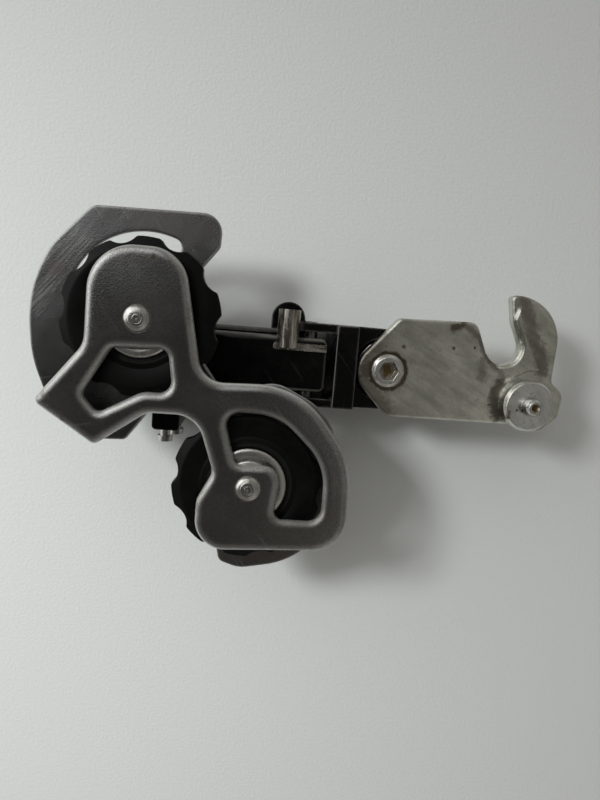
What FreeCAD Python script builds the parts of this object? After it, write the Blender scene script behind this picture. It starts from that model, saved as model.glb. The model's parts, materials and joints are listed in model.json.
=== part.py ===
import FreeCAD, Part
import math
import os

# Rear derailleur with a claw hanger, lying on its outer side.
# Origin on the wheel axle's line at the claw's inner face; X runs along the links towards the claw,
# Y is square to them in the claw's plane, Z points at the wheel.

SIZES = {
    # Claw and its bolts
    "slot_r": 5.15,
    "slot_lean": 115.0,
    "claw_t": 3.2,
    "pad_h": 1.0,
    "hanger_back": 32.8,
    "hanger_drop": 9.2,
    "bolt_r": 4.75,
    "shank_r": 4.0,
    "bolt_stand": 1.0,
    "bolt_socket": 2.5,
    "washer_t": 1.0,
    "nut_x": 8.2,
    "nut_drop": 16.0,
    "nut_r": 7.4,
    "nut_t": 4.4,
    "stud_r": 2.5,
    # Parallelogram
    "pin_back": 22.4,
    "link_len": 32.8,
    "pin_gap": 16.0,
    "pin_drop": 4.8,
    "web_z": 0.8,
    "pin_r": 1.75,
    "run_fit": 0.05,
    "side_gap": 0.4,
    "inner_link_w": 15.2,
    "outer_link_w": 18.0,
    "link_t": 1.2,
    "link_bend": 1.7,
    "link_end": 3.6,
    "cheek_t": 2.4,
    "knuckle_depth": 26.5,
    "boss_r": 11.7,
    "lug_w": 9.3,
    "lug_back": 6.8,
    "lug_rise": 3.3,
    "base_w": 6.2,
    "housing_r": 2.6,
    "pipe_r": 3.1,
    "pipe_t": 0.9,
    "strip_w": 2.0,
    "arm_drop": 31.8,
    "limit_r": 1.5,
    # Cage
    "cage_back": 12.1,
    "cage_rise": 9.7,
    "pulley_centres": 50.9,
    "cage_lean": 54.1,
    "plate_t": 1.4,
    "inner_top": 18.2,
    "outer_top": 7.5,
    "rim_h": 2.4,
    "rim_r": 1.8,
    "tube_r": 4.0,
    "cage_boss_r": 8.2,
    "opening_r": 20.2,
    "opening_w": 4.6,
    "opening_lift": 1.9,
    "opening_start": 70.0,
    "opening_end": 176.0,
    "axle_r": 2.5,
    "head_r": 3.2,
    # Pulleys
    "tip_r": 20.2,
    "valley_r": 18.6,
    "teeth": 10,
    "guide_phase": -3.6,
    "tension_phase": -6.3,
    "pulley_t": 5.0,
    "bush_r": 4.0,
    "cap_r": 9.9,
    "cap_t": 0.45,
    "cap_dish": 1.35,
}

doc = FreeCAD.newDocument("rear_derailleur")
sheet = doc.addObject("Spreadsheet::Sheet", "sizes")
for row, (alias, value) in enumerate(SIZES.items(), start=1):
    sheet.set("A%d" % row, alias)
    sheet.set("B%d" % row, str(value))
    sheet.setAlias("B%d" % row, alias)
doc.recompute()


def size(name):
    return float(sheet.get(name))


# Lines and levels that several pieces share
AXIS_Y = -size("hanger_drop")
HANGER = (-size("hanger_back"), AXIS_Y)
UP_X = HANGER[0] - size("pin_back")
LOW_X = UP_X - size("link_len")
PIN_IN = size("web_z") - size("pin_drop")
PIN_OUT = PIN_IN - size("pin_gap")
FLOOR = -size("knuckle_depth")
GUIDE = (LOW_X - size("cage_back"), AXIS_Y + size("cage_rise"))
LEAN = math.radians(size("cage_lean"))
REACH = (size("pulley_centres") * math.cos(LEAN), -size("pulley_centres") * math.sin(LEAN))
TENSION = (GUIDE[0] + REACH[0], GUIDE[1] + REACH[1])
NUT = (size("nut_x"), -size("nut_drop"))
CLAW_BACK = -size("claw_t")
BOSS_TOP = CLAW_BACK - size("washer_t") - 0.3
INNER_FACE = size("inner_top") - size("plate_t")
OUTER_FACE = size("outer_top")
OUTER_BACK = OUTER_FACE - size("plate_t")
PULLEY_MID = (INNER_FACE + OUTER_FACE) / 2
HOLE_R = size("pin_r") + size("run_fit")
BASE_X = UP_X + 7.0
CHEEK_IN = size("outer_link_w") / 2 + size("side_gap")
CHEEK_OUT = CHEEK_IN + size("cheek_t")
CLAMP = ((UP_X + LOW_X) / 2, PIN_OUT)
LIMITS = [(GUIDE[0] + 4.6, -8.0), (GUIDE[0] + 7.0, -13.5)]


def vec(x, y, z=0.0):
    return FreeCAD.Vector(x, y, z)


def polar(centre, radius, degrees):
    turn = math.radians(degrees)
    return (centre[0] + radius * math.cos(turn), centre[1] + radius * math.sin(turn))


def ring(centre, radius):
    """One circle as sketch geometry."""
    return [Part.Circle(vec(*centre), vec(0, 0, 1), radius)]


def arc(centre, radius, start, middle, end):
    """Arc of a circle through three angles in degrees."""
    points = [vec(*polar(centre, radius, a)) for a in (start, middle, end)]
    return Part.Arc(*points)


def line(start, end):
    return Part.LineSegment(vec(*start), vec(*end))


def rounded(corners):
    """Closed outline of straight sides whose corners (x, y, radius) are rounded by tangent arcs."""
    count = len(corners)
    joints = []
    for i, (x, y, radius) in enumerate(corners):
        here = vec(x, y)
        back = vec(*corners[i - 1][:2]) - here
        ahead = vec(*corners[(i + 1) % count][:2]) - here
        back.normalize()
        ahead.normalize()
        half = back.getAngle(ahead) / 2
        if radius <= 0 or half > 1.56:
            joints.append((here, None, here))
            continue
        reach = radius / math.tan(half)
        bisector = back + ahead
        bisector.normalize()
        crown = here + bisector * (radius / math.sin(half) - radius)
        joints.append((here + back * reach, crown, here + ahead * reach))
    curves = []
    for i, (start, crown, end) in enumerate(joints):
        if crown is not None:
            curves.append(Part.Arc(start, crown, end))
        follow = joints[(i + 1) % count][0]
        if end.distanceToPoint(follow) > 1e-6:
            curves.append(Part.LineSegment(end, follow))
    return curves


def box(x0, x1, y0, y1, radius=0.0):
    """Rectangle with equal corner radii."""
    return rounded([(x0, y0, radius), (x1, y0, radius), (x1, y1, radius), (x0, y1, radius)])


def hexagon(centre, flat):
    """Hexagon of half width across flats, one corner on +X."""
    corners = [polar(centre, flat / math.cos(math.pi / 6), 60 * i) for i in range(6)]
    return rounded([(x, y, 0) for x, y in corners])


def new_body(label):
    body = doc.addObject("PartDesign::Body", label)
    body.Label = label
    return body


def sketch(body, plane, level, curves):
    """Sketch on one of the body's own planes, shifted to a level along X, Y or Z."""
    drawing = body.newObject("Sketcher::SketchObject", body.Label + "_sketch")
    origin = [f for f in body.Origin.OriginFeatures if f.Role == plane + "_Plane"][0]
    drawing.AttachmentSupport = [(origin, "")]
    drawing.MapMode = "FlatFace"
    shift = -level if plane == "XZ" else level
    drawing.AttachmentOffset = FreeCAD.Placement(vec(0, 0, shift), FreeCAD.Rotation())
    for curve in curves:
        drawing.addGeometry(curve)
    return drawing


def pad(body, curves, low, high, plane="XY", bound=None):
    """Solid between two levels; bound names a sheet size that drives the thickness."""
    start = high if plane == "XZ" else low
    feature = body.newObject("PartDesign::Pad", body.Label + "_pad")
    feature.Profile = sketch(body, plane, start, curves)
    feature.Length = high - low
    if bound:
        feature.setExpression("Length", bound)
    doc.recompute()
    return feature


def pocket(body, curves, low, high, plane="XY"):
    """Cut between two levels."""
    start = low if plane == "XZ" else high
    feature = body.newObject("PartDesign::Pocket", body.Label + "_pocket")
    feature.Profile = sketch(body, plane, start, curves)
    feature.Length = high - low
    doc.recompute()
    return feature


def soften(body, base, edges, radius):
    """Round the named edges of the last feature."""
    feature = body.newObject("PartDesign::Fillet", body.Label + "_fillet")
    feature.Base = (base, edges)
    feature.Radius = radius
    doc.recompute()
    return feature


def edges_where(feature, test):
    """Names of a feature's edges that pass a test of their bounding box."""
    names = []
    for i, edge in enumerate(feature.Shape.Edges, start=1):
        if test(edge.BoundBox):
            names.append("Edge%d" % i)
    return names


def level_edges(feature, z):
    """Edges lying in one level plane."""
    return edges_where(feature, lambda b: abs(b.ZMin - z) < 1e-4 and abs(b.ZMax - z) < 1e-4)


def turned(label, profile, place, axis="Z"):
    """Piece turned on a lathe: profile points are (radius, height) about the piece's own axis."""
    body = new_body(label)
    feature = body.newObject("PartDesign::Revolution", label + "_turn")
    drawing = sketch(body, "XZ", 0, rounded([(r, h, 0) for r, h in profile]))
    feature.Profile = drawing
    feature.ReferenceAxis = (drawing, ["V_Axis"])
    feature.Angle = 360
    turn = {"Z": FreeCAD.Rotation(), "Y": FreeCAD.Rotation(vec(1, 0, 0), -90)}[axis]
    body.Placement = FreeCAD.Placement(vec(*place), turn)
    doc.recompute()
    return body


def coil(label, radius, wire, low, high, turns, place, axis="Z"):
    """Helical wire spring with plain ends."""
    rise = high - low
    helix = Part.makeHelix(rise / turns, rise, radius)
    start = Part.Circle(vec(radius, 0, 0), vec(0, 1, 0), wire)
    section = Part.Wire([start.toShape()])
    feature = doc.addObject("Part::Feature", label)
    feature.Label = label
    feature.Shape = Part.Wire(helix.Edges).makePipeShell([section], True, True)
    turn = {"Z": FreeCAD.Rotation(), "Y": FreeCAD.Rotation(vec(1, 0, 0), -90)}[axis]
    offset = turn.multVec(vec(0, 0, low))
    feature.Placement = FreeCAD.Placement(vec(*place) + offset, turn)
    return feature


def claw_plate():
    """Stamped hanger plate with the axle slot, its hook and a half-sheared pad beside the slot."""
    body = new_body("claw_plate")
    r = size("slot_r")
    lean = size("slot_lean")
    left = polar((0, 0), r, lean + 90)
    right = polar((0, 0), r, lean - 90)
    mouth = polar(left, 8.6, lean)
    wall = polar(right, 5.7, lean)
    corners = [
        (right[0], right[1], 0),
        (wall[0], wall[1], 3.0),
        (0.9, 15.0, 1.3),
        (16.6, 14.9, 13.2),
        (15.9, -9.0, 1.5),
        (19.9, -12.2, 3.5),
        (19.2, -19.6, 4.0),
        (13.6, -24.4, 4.5),
        (4.2, -22.2, 4.0),
        (-32.2, -22.3, 5.0),
        (-44.3, -9.8, 7.9),
        (-30.7, 5.9, 2.0),
        (mouth[0], 6.5, 3.2),
        (left[0], left[1], 0),
    ]
    base = pad(body, rounded(corners), CLAW_BACK, 0, bound="sizes.claw_t")
    soften(body, base, level_edges(base, 0), 0.7)
    pocket(body, ring((0, 0), r), CLAW_BACK - 1, 1)
    near = r + 0.5
    foot = polar((0, 0), near, 258)
    start = polar((0, 0), near, lean - 90)
    tip = polar(start, 6.4, lean)
    step = [
        line((1.3, -9.7), (8.1, -6.2)),
        line((8.1, -6.2), (11.6, -6.0)),
        line((11.6, -6.0), (7.6, 1.2)),
        line((7.6, 1.2), (5.0, 6.4)),
        line((5.0, 6.4), (3.4, 11.8)),
        line((3.4, 11.8), tip),
        line(tip, start),
        arc((0, 0), near, lean - 90, -50, -102),
        line(foot, (1.3, -9.7)),
    ]
    raised = pad(body, step, -0.8, size("pad_h"))
    soften(body, raised, level_edges(raised, size("pad_h")), 0.45)
    pocket(body, ring(HANGER, size("bolt_r")), CLAW_BACK - 1, 1)
    pocket(body, ring(NUT, size("stud_r")), CLAW_BACK - 1, 2)
    return body


def hanger_bolt():
    """Pivot bolt screwed into the claw, with a hexagon socket at each end."""
    top = size("bolt_stand")
    r = size("bolt_r")
    shank = size("shank_r")
    head_z = FLOOR + 3.4
    profile = [
        (0, FLOOR + 0.4),
        (6.2, FLOOR + 0.4),
        (6.8, FLOOR + 1.0),
        (6.8, head_z),
        (shank, head_z),
        (shank, CLAW_BACK),
        (r, CLAW_BACK),
        (r, top - 0.9),
        (r - 0.9, top),
        (0, top),
    ]
    body = turned("hanger_bolt", profile, (HANGER[0], HANGER[1], 0))
    flat = size("bolt_socket")
    pocket(body, hexagon((0, 0), flat), top - 3.5, top + 1)
    pocket(body, hexagon((0, 0), flat), FLOOR - 1, FLOOR + 3.0)
    return body


def hanger_washer():
    """Plain thrust washer between claw and knuckle."""
    low = CLAW_BACK - size("washer_t")
    hole = size("shank_r")
    rim = 8.6
    profile = [(hole, low), (rim, low), (rim, CLAW_BACK), (hole, CLAW_BACK)]
    return turned("hanger_washer", profile, (HANGER[0], HANGER[1], 0))


def dropout_nut():
    """Round nut that keys the claw into the frame's slot."""
    r = size("nut_r")
    t = size("nut_t")
    hole = size("stud_r")
    profile = [(hole, 0), (r, 0), (r, t - 1.1), (r - 0.7, t), (hole, t)]
    return turned("dropout_nut", profile, (NUT[0], NUT[1], 0))


def dropout_screw():
    """Screw through claw and round nut; its tapered, hollow-ended tip stands out of the nut."""
    r = size("stud_r")
    low = CLAW_BACK
    tip = size("nut_t") + 3.6
    profile = [
        (0, low - 2.6),
        (4.2, low - 2.6),
        (4.8, low - 2.0),
        (4.8, low),
        (r, low),
        (r, tip - 1.2),
        (r - 0.7, tip),
        (1.2, tip),
        (0.6, tip - 0.7),
        (0, tip - 0.7),
    ]
    body = turned("dropout_screw", profile, (NUT[0], NUT[1], 0))
    pocket(body, box(-5, 5, -0.6, 0.6), low - 3, low - 1.4)
    return body


def upper_knuckle():
    """Cast fork that turns on the hanger bolt and carries both upper pins and the housing lug."""
    body = new_body("upper_knuckle")
    w = CHEEK_OUT
    x, y = HANGER
    r = size("boss_r")
    plan = [
        line((BASE_X, y + w), (x, y + r)),
        arc(HANGER, r, 90, 0, -90),
        line((x, y - r), (BASE_X, y - w)),
        line((BASE_X, y - w), (BASE_X, y + w)),
    ]
    pad(body, plan, FLOOR, BOSS_TOP)
    wall_top = size("web_z") + 0.2
    wall = pad(body, box(BASE_X, BASE_X + size("base_w"), y - w, y + w, 0.6), BOSS_TOP - 1, wall_top)
    soften(body, wall, level_edges(wall, wall_top), 0.5)
    cheek = rounded([
        (UP_X - 4.4, PIN_IN + 4.0, 3.6),
        (BASE_X + 1, PIN_IN + 4.0, 0),
        (BASE_X + 1, PIN_OUT - 4.2, 0),
        (UP_X - 4.4, PIN_OUT - 4.2, 3.6),
    ])
    pad(body, cheek, y + CHEEK_IN, y + w, "XZ")
    pad(body, cheek, y - w, y - CHEEK_IN, "XZ")
    # Rounded lug at the upper cheek, bored for the cable housing
    mid = UP_X - size("lug_back")
    rise = size("lug_rise")
    half = size("lug_w") / 2
    lug = [
        line((mid - half, y + CHEEK_IN), (mid - half, rise)),
        arc((mid, rise), half, 180, 90, 0),
        line((mid + half, rise), (mid + half + 1.5, y + CHEEK_IN)),
        line((mid + half + 1.5, y + CHEEK_IN), (mid - half, y + CHEEK_IN)),
    ]
    pad(body, lug, PIN_IN - 7.2, PIN_IN + 1.6)
    bore_z = PIN_IN - 2.8
    pocket(body, ring((mid, bore_z), size("housing_r")), rise - 1.5, rise + half + 1, "XZ")
    pocket(body, ring((mid, bore_z), 1.2), y, rise + half + 1, "XZ")
    # Pin holes, pivot bore, spring chamber and the bolt head's recess
    for z in (PIN_IN, PIN_OUT):
        pocket(body, ring((UP_X, z), size("pin_r")), y - w - 1, y + w + 1, "XZ")
    pocket(body, ring(HANGER, size("shank_r") + size("run_fit")), FLOOR - 1, 3)
    pocket(body, ring(HANGER, 9.2), BOSS_TOP - 15.0, BOSS_TOP + 1)
    pocket(body, ring(HANGER, 7.2), FLOOR - 1, FLOOR + 3.8)
    return body


def channel_link(label, pin_z, width, side, left, right):
    """Pressed channel: web on one side, two flanges with rounded ends around the pins."""
    body = new_body(label)
    end = size("link_end")
    web = pin_z + side * size("pin_drop")
    back = pin_z - side * end
    soft = 0.8
    profile = rounded([
        (LOW_X - left, web, soft),
        (LOW_X - end, pin_z, 0.6),
        (LOW_X - end, back, end - 0.2),
        (UP_X + end, back, end - 0.2),
        (UP_X + end, pin_z, 0.6),
        (UP_X + right, web, soft),
    ])
    half = width / 2
    blank = pad(body, profile, AXIS_Y - half, AXIS_Y + half, "XZ")
    long_edges = edges_where(
        blank, lambda b: b.XLength > 20 and abs(b.ZMin - web) < 1e-4 and abs(b.ZMax - web) < 1e-4)
    soften(body, blank, long_edges, size("link_bend"))
    t = size("link_t")
    skin = web - side * t
    low, high = sorted((skin, back - side * 2))
    pocket(body, box(LOW_X - 12, UP_X + 12, AXIS_Y - half + t, AXIS_Y + half - t), low, high)
    for x in (LOW_X, UP_X):
        pocket(body, ring((x, pin_z), HOLE_R), AXIS_Y - half - 1, AXIS_Y + half + 1, "XZ")
    return body


def inner_link():
    """Painted channel facing the wheel."""
    return channel_link("inner_link", PIN_IN, size("inner_link_w"), 1, 3.0, 4.5)


def outer_link():
    """Painted channel facing outwards, drilled in one flange for the cable clamp."""
    body = channel_link("outer_link", PIN_OUT, size("outer_link_w"), -1, 0.0, 3.6)
    half = size("outer_link_w") / 2
    pocket(body, ring(CLAMP, 2.0), AXIS_Y - half - 1, AXIS_Y - half + 3, "XZ")
    return body


def cable_clamp():
    """Clamp screw, washer and nut for the inner cable, on the outer link's flange."""
    face = AXIS_Y - size("outer_link_w") / 2
    t = size("link_t")
    screw = turned("cable_clamp_screw", [
        (0, 0), (2.0, 0), (2.0, 9.0), (3.6, 9.0), (3.6, 11.6), (3.2, 12.2), (0, 12.2),
    ], (CLAMP[0], face + 5.2, CLAMP[1]), "Y")
    screw.Placement = FreeCAD.Placement(screw.Placement.Base, FreeCAD.Rotation(vec(1, 0, 0), 90))
    washer = turned("cable_clamp_washer", [
        (2.0, 0), (4.2, 0), (4.2, 1.2), (2.0, 1.2),
    ], (CLAMP[0], face - 1.2, CLAMP[1]), "Y")
    nut = new_body("cable_clamp_nut")
    pad(nut, hexagon(CLAMP, 3.2), face + t, face + t + 3.0, "XZ")
    pocket(nut, ring(CLAMP, 2.0), face, face + 9, "XZ")
    return screw, washer, nut


def cable_trough():
    """Bare steel strip along the inner link's bend, pressed into a half pipe over the cable."""
    body = new_body("cable_trough")
    top = size("web_z")
    edge = AXIS_Y + size("inner_link_w") / 2
    mid = UP_X - size("lug_back")
    r = size("pipe_r")
    bore = r - size("pipe_t")
    low = edge - size("link_bend") - size("strip_w")
    high = edge - size("link_bend")
    strip = rounded([
        (mid - r - 0.9, low, 0.8),
        (UP_X + 4.2, low, 0.3),
        (UP_X + 4.2, high, 0.3),
        (mid - r - 0.9, high, 0.8),
    ])
    pad(body, strip, top, top + size("pipe_t"))
    pipe = [
        arc((mid, top), r, 0, 90, 180),
        line((mid - r, top), (mid - bore, top)),
        arc((mid, top), bore, 180, 90, 0),
        line((mid + bore, top), (mid + r, top)),
    ]
    pad(body, pipe, low + 0.6, edge + 7.4, "XZ")
    return body


def lower_knuckle():
    """Cast knuckle: cage pivot boss, lugs for both lower pins and an arm for the limit screws."""
    body = new_body("lower_knuckle")
    y = AXIS_Y
    half = size("inner_link_w") / 2 - size("link_t") - size("side_gap")
    top = OUTER_BACK - 0.5
    pad(body, ring(GUIDE, size("cage_boss_r")), FLOOR, top)
    lug = [
        arc((LOW_X, PIN_IN), 3.2, 90, 0, -60),
        line(polar((LOW_X, PIN_IN), 3.2, -60), polar((LOW_X, PIN_OUT), 3.2, 60)),
        arc((LOW_X, PIN_OUT), 3.2, 60, 0, -90),
        line((LOW_X, PIN_OUT - 3.2), (LOW_X - 3.2, PIN_OUT)),
        line((LOW_X - 3.2, PIN_OUT), (GUIDE[0] + 2, PIN_OUT + 2)),
        line((GUIDE[0] + 2, PIN_OUT + 2), (GUIDE[0] + 2, PIN_IN + 3.2)),
        line((GUIDE[0] + 2, PIN_IN + 3.2), (LOW_X, PIN_IN + 3.2)),
    ]
    pad(body, lug, y - half, y + half, "XZ")
    left = GUIDE[0] + 1.2
    foot = GUIDE[1] - size("arm_drop")
    arm = rounded([
        (GUIDE[0] - 7.7, GUIDE[1] - 2.8, 0),
        (left, GUIDE[1] - 19.0, 6.0),
        (left, foot, 1.2),
        (left + 7.8, foot, 1.2),
        (left + 7.8, foot + 9.0, 1.5),
        (left + 5.0, foot + 13.0, 1.5),
        (left + 5.0, GUIDE[1], 0),
    ])
    pad(body, arm, FLOOR, -4.0)
    for z in (PIN_IN, PIN_OUT):
        pocket(body, ring((LOW_X, z), size("pin_r")), y - half - 1, y + half + 1, "XZ")
    pocket(body, ring(GUIDE, size("tube_r") + size("run_fit")), FLOOR - 1, top + 1)
    pocket(body, ring(GUIDE, 6.9), top - 14.0, top + 1)
    pocket(body, ring(GUIDE, 5.6), FLOOR - 1, FLOOR + 3.8)
    for x, z in LIMITS:
        pocket(body, ring((x, z), size("limit_r")), foot - 1, foot + 8.0, "XZ")
    return body


def limit_screws():
    """Two slotted adjusting screws in the lower knuckle's arm."""
    screws = []
    r = size("limit_r")
    foot = GUIDE[1] - size("arm_drop")
    for i, (x, z) in enumerate(LIMITS):
        reach = 2.2 - 1.2 * i
        solid = Part.makeCylinder(r, 8.0 + reach, vec(x, foot + 8.0, z), vec(0, -1, 0))
        head = Part.makeCylinder(r + 0.7, 1.6, vec(x, foot - reach, z), vec(0, -1, 0))
        slot = Part.makeBox(6, 1.0, 0.7, vec(x - 3, foot - reach - 1.6, z - 0.35))
        screws.append(solid.fuse(head).cut(slot).removeSplitter())
    feature = doc.addObject("Part::Feature", "limit_screws")
    feature.Label = "limit_screws"
    feature.Shape = Part.makeCompound(screws)
    return feature


def pivot_pin(label, x, z, half):
    """Riveted pin across a knuckle."""
    r = size("pin_r")
    profile = [(0, -half), (r - 0.3, -half), (r, -half + 0.3), (r, half - 0.3), (r - 0.3, half), (0, half)]
    return turned(label, profile, (x, AXIS_Y, z), "Y")


def pivot_pins():
    """Four pins of the parallelogram."""
    upper = CHEEK_OUT + 0.3
    pivot_pin("upper_inner_pin", UP_X, PIN_IN, upper)
    pivot_pin("upper_outer_pin", UP_X, PIN_OUT, upper)
    pivot_pin("lower_inner_pin", LOW_X, PIN_IN, size("inner_link_w") / 2 + 0.6)
    pivot_pin("lower_outer_pin", LOW_X, PIN_OUT, size("outer_link_w") / 2 + 0.6)


# Cage plate outlines about the guide pulley's axis, drawn for pulleys this far apart
DRAWN_CENTRES = 50.9
INNER_RIM = [
    (-12.4, 17.6, 11.5), (10.3, 17.6, 9.5), (16.4, -14.7, 6.5), (41.5, -13.9, 22.0),
    (56.2, -32.6, 24.0), (56.5, -57.1, 9.0), (16.5, -58.8, 8.0), (16.7, -45.3, 5.0),
    (20.5, -37.8, 4.0), (15.6, -23.4, 7.5), (3.2, -23.4, 5.5), (-9.6, -32.5, 1.8),
    (-24.9, -22.2, 1.8), (-12.9, -7.3, 7.0),
]
TRIANGLE = [
    (-5.8, -7.6, 1.6), (7.6, -7.0, 2.4), (9.3, -18.1, 3.0), (2.0, -18.0, 7.0),
    (-9.0, -24.2, 2.2), (-12.9, -19.6, 2.2),
]
SICKLE = [
    (22.4, -21.9, 3.2), (36.5, -21.9, 15.0), (49.2, -34.0, 15.0), (49.4, -49.3, 3.6),
    (36.9, -49.3, 2.2), (38.6, -35.0, 4.4), (26.2, -35.4, 2.0),
]
OUTER_RIM = [
    (18.9, 28.1, 5.0), (18.5, 19.6, 2.5), (11.5, 10.5, 4.0), (14.0, -8.0, 8.0),
    (21.0, -17.5, 5.0), (36.0, -14.6, 9.0), (50.6, -21.6, 18.0), (58.0, -43.7, 22.0),
    (46.1, -64.4, 22.0), (28.7, -67.5, 9.0), (23.0, -65.5, 2.5), (18.8, -44.0, 6.0),
    (23.0, -25.0, 6.0), (3.0, -23.6, 4.0), (-3.8, -32.8, 2.0), (-9.4, -33.0, 1.5),
    (-24.6, -22.6, 1.5), (-28.8, -11.9, 34.0), (-30.0, 5.8, 34.0), (-23.9, 17.2, 16.0),
    (-14.2, 27.5, 3.5),
]


def cage_outline(corners):
    """Outline scaled with the pulley distance and moved to the guide pulley's axis."""
    k = size("pulley_centres") / DRAWN_CENTRES
    return rounded([(GUIDE[0] + k * x, GUIDE[1] + k * y, k * r) for x, y, r in corners])


def inner_cage_plate():
    """Pressed plate with rims turned away from the wheel and a tab bent down to the outer plate."""
    body = new_body("inner_cage_plate")
    top = size("inner_top")
    low = top - size("rim_h")
    curves = cage_outline(INNER_RIM) + cage_outline(TRIANGLE) + cage_outline(SICKLE)
    blank = pad(body, curves, low, top, bound="sizes.rim_h")
    soften(body, blank, level_edges(blank, top), size("rim_r"))
    rim = Part.Wire([curve.toShape() for curve in cage_outline(INNER_RIM)])
    hollow = rim.makeOffset2D(-size("plate_t"))
    inside = [edge.Curve.trim(*edge.ParameterRange) for edge in hollow.Edges]
    pocket(body, inside, low - 1, top - size("plate_t"))
    k = size("pulley_centres") / DRAWN_CENTRES
    start = vec(GUIDE[0] - 22.9 * k, GUIDE[1] - 22.9 * k)
    end = vec(GUIDE[0] - 10.9 * k, GUIDE[1] - 30.9 * k)
    along = end - start
    across = vec(-along.y, along.x)
    across.normalize()
    across = across * size("plate_t")
    corners = [start, end, end + across, start + across]
    pad(body, rounded([(p.x, p.y, 0) for p in corners]), OUTER_FACE, low + 1.2)
    for centre in (GUIDE, TENSION):
        pocket(body, ring(centre, size("axle_r")), low - 1, top + 1)
    return body


def outer_cage_plate():
    """Flat plate behind the pulleys with a curved chain guard over the guide pulley."""
    body = new_body("outer_cage_plate")
    k = size("pulley_centres") / DRAWN_CENTRES
    centre = (GUIDE[0], GUIDE[1] + size("opening_lift") * k)
    wide = size("opening_r") * k
    narrow = wide - size("opening_w") * k
    middle = (wide + narrow) / 2
    first, last = size("opening_start"), size("opening_end")
    half = (first + last) / 2
    ends = [polar(centre, middle, a) for a in (first, last)]
    cap = (wide - narrow) / 2
    opening = [
        arc(centre, wide, first, half, last),
        arc(ends[1], cap, last, last + 90, last + 180),
        arc(centre, narrow, last, half, first),
        arc(ends[0], cap, first + 180, first + 270, first + 360),
    ]
    blank = pad(body, cage_outline(OUTER_RIM) + opening, OUTER_BACK, OUTER_FACE, bound="sizes.plate_t")
    soften(body, blank, level_edges(blank, OUTER_FACE), 0.5)
    pocket(body, ring(GUIDE, size("tube_r") - 0.8), OUTER_BACK - 1, OUTER_FACE + 1)
    pocket(body, ring(TENSION, size("axle_r")), OUTER_BACK - 1, OUTER_FACE + 1)
    return body


def cage_pivot():
    """Tube riveted to the outer plate, turning in the lower knuckle, and its retaining screw."""
    r = size("tube_r")
    low = FLOOR + 3.4
    profile = [
        (size("axle_r"), low),
        (r, low),
        (r, OUTER_BACK),
        (r - 0.8, OUTER_BACK),
        (r - 0.8, OUTER_FACE),
        (size("axle_r"), OUTER_FACE),
    ]
    turned("cage_pivot_tube", profile, (GUIDE[0], GUIDE[1], 0))
    screw = turned("cage_pivot_screw", [
        (0, FLOOR + 0.6), (4.8, FLOOR + 0.6), (5.2, FLOOR + 1.0), (5.2, low), (size("axle_r"), low),
        (size("axle_r"), low + 9), (0, low + 9),
    ], (GUIDE[0], GUIDE[1], 0))
    pocket(screw, hexagon((0, 0), 1.5), FLOOR - 1, FLOOR + 2.6)


def pulley_axle(label, centre, low, nut_end):
    """Pulley axle with a domed, riveted head on the inner plate."""
    r = size("axle_r")
    h = size("head_r")
    top = size("inner_top")
    profile = [(0, low)]
    if nut_end:
        profile += [(4.0, low), (4.0, OUTER_BACK), (r, OUTER_BACK)]
    else:
        profile += [(r, low)]
    profile += [(r, top), (h, top), (h, top + 0.5), (0.8 * h, top + 1.1), (0.45 * h, top + 1.4), (0, top + 1.4)]
    body = turned(label, profile, (centre[0], centre[1], 0))
    if nut_end:
        pocket(body, box(-5, 5, -0.6, 0.6), low - 1, low + 1.0)
    return body


def pulley_set(name, centre):
    """Toothed pulley on a steel bush between two dished dust caps."""
    place = (centre[0], centre[1], 0)
    cap = size("cap_t")
    bush = size("bush_r")
    mid = PULLEY_MID
    low = OUTER_FACE + cap
    high = INNER_FACE - cap
    turned(name + "_bush", [
        (size("axle_r"), low), (bush, low), (bush, high), (size("axle_r"), high),
    ], place)
    rim = size("cap_r")
    dish = size("cap_dish")
    for side, face, sign in (("inner", INNER_FACE, -1), ("outer", OUTER_FACE, 1)):
        turned("%s_%s_cap" % (name, side), [
            (size("axle_r"), face),
            (5.2, face),
            (6.4, face + sign * dish),
            (7.4, face + sign * dish),
            (8.2, face + sign * (dish - 0.25)),
            (rim - 0.5, face + sign * (dish - 0.15)),
            (rim, face + sign * (dish + 0.2)),
            (rim, face + sign * (dish + cap)),
            (8.2, face + sign * (dish + cap - 0.25)),
            (7.4, face + sign * (dish + cap)),
            (6.2, face + sign * (dish + cap)),
            (5.0, face + sign * cap),
            (size("axle_r"), face + sign * cap),
        ], place)
    half = size("pulley_t") / 2
    bore = bush + size("run_fit")
    collar = bush + 0.9
    hub = (high - low) / 2 - 0.35
    tip = size("tip_r")
    profile = [
        (bore, mid - hub),
        (collar, mid - hub),
        (collar + 1.0, mid - half),
        (tip - 2.4, mid - half),
        (tip, mid - half + 1.2),
        (tip, mid + half - 1.2),
        (tip - 2.4, mid + half),
        (collar + 1.0, mid + half),
        (collar, mid + hub),
        (bore, mid + hub),
    ]
    wheel = turned(name + "_pulley", profile, place)
    valley = size("valley_r")
    count = int(size("teeth"))
    edge = math.radians(0.264 * 360.0 / count)
    x = tip * math.cos(edge)
    y = tip * math.sin(edge)
    bite_c = (x * x + y * y - valley * valley) / (2 * (x - valley))
    cut = wheel.newObject("PartDesign::Pocket", name + "_valley")
    bite = ring(polar((0, 0), bite_c, size(name + "_phase")), bite_c - valley)
    cut.Profile = sketch(wheel, "XY", mid + half + 1, bite)
    cut.Length = 2 * half + 2
    doc.recompute()
    pattern = wheel.newObject("PartDesign::PolarPattern", name + "_valleys")
    pattern.Originals = [cut]
    axis = [f for f in wheel.Origin.OriginFeatures if f.Role == "Z_Axis"][0]
    pattern.Axis = (axis, [""])
    pattern.Angle = 360
    pattern.Occurrences = count
    wheel.Tip = pattern
    return wheel


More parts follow.
